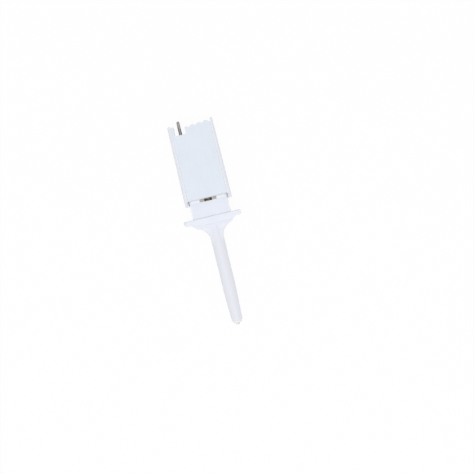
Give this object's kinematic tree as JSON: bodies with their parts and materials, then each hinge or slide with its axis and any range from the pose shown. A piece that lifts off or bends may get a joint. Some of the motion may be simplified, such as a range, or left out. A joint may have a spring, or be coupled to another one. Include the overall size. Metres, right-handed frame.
{
  "type": "test hook clip",
  "caption": "Spring-loaded test hook clip: a flat thumb cap with a contact pin slides on a forked neck with finger wings and pushes sprung claws out of a thin round stem.",
  "frame": {"origin": "on the surface that the clip lies on, under the middle of its box; the clip lies on its back", "axes": "+Y along the clip from the claws to the cap's top edge, +Z out of the cap's front cover, +X to the right, so that the contact pin is on the -X side"},
  "size_m": [0.012, 0.0436, 0.0052],
  "materials": {
    "housing_plastic": "satin white moulding with a faint blue cast, slightly translucent",
    "bush_plastic": "satin white moulding, a little lighter than the body",
    "cap_plastic": "satin white moulding with a faint blue cast, slightly translucent",
    "tin_plated_pin": "dull tin plate on a brass pin",
    "contact_brass": "bright stamped and turned brass",
    "spring_wire": "plated spring wire, smooth",
    "spring_steel": "dark oiled spring steel"
  },
  "bodies": {
    "body": {"clip_body": "housing_plastic", "tip_bush": "bush_plastic", "return_spring": "spring_steel"},
    "cap": {"cap_tray": "cap_plastic", "cap_cover": "cap_plastic", "contact_pin": "tin_plated_pin", "contact_strip": "contact_brass", "wire_ferrule": "contact_brass", "hook_wire_left": "spring_wire", "hook_wire_right": "spring_wire"},
    "left_claw": {"claw_left": "spring_wire"},
    "right_claw": {"claw_right": "spring_wire"}
  },
  "joints": [
    {"name": "cap_press", "type": "slide", "parent": "body", "child": "cap", "axis": [0, -1, 0], "range_m": [0, 0.0028], "stiffness_N_per_m": 300, "springref_m": -0.003, "deforming": ["return_spring"]},
    {"name": "claw_left_flex", "type": "hinge", "parent": "cap", "child": "left_claw", "pos_m": [-0.0002, -0.01841, 0.00282], "axis": [0, 0, -1], "range_deg": [0, 15]},
    {"name": "claw_right_flex", "type": "hinge", "parent": "cap", "child": "right_claw", "pos_m": [0.0002, -0.01841, 0.00238], "axis": [0, 0, 1], "range_deg": [0, 15]}
  ],
  "couplings": [
    {"joint": "claw_left_flex", "follows": "cap_press", "rad_per_m": 93},
    {"joint": "claw_right_flex", "follows": "cap_press", "rad_per_m": 93}
  ]
}
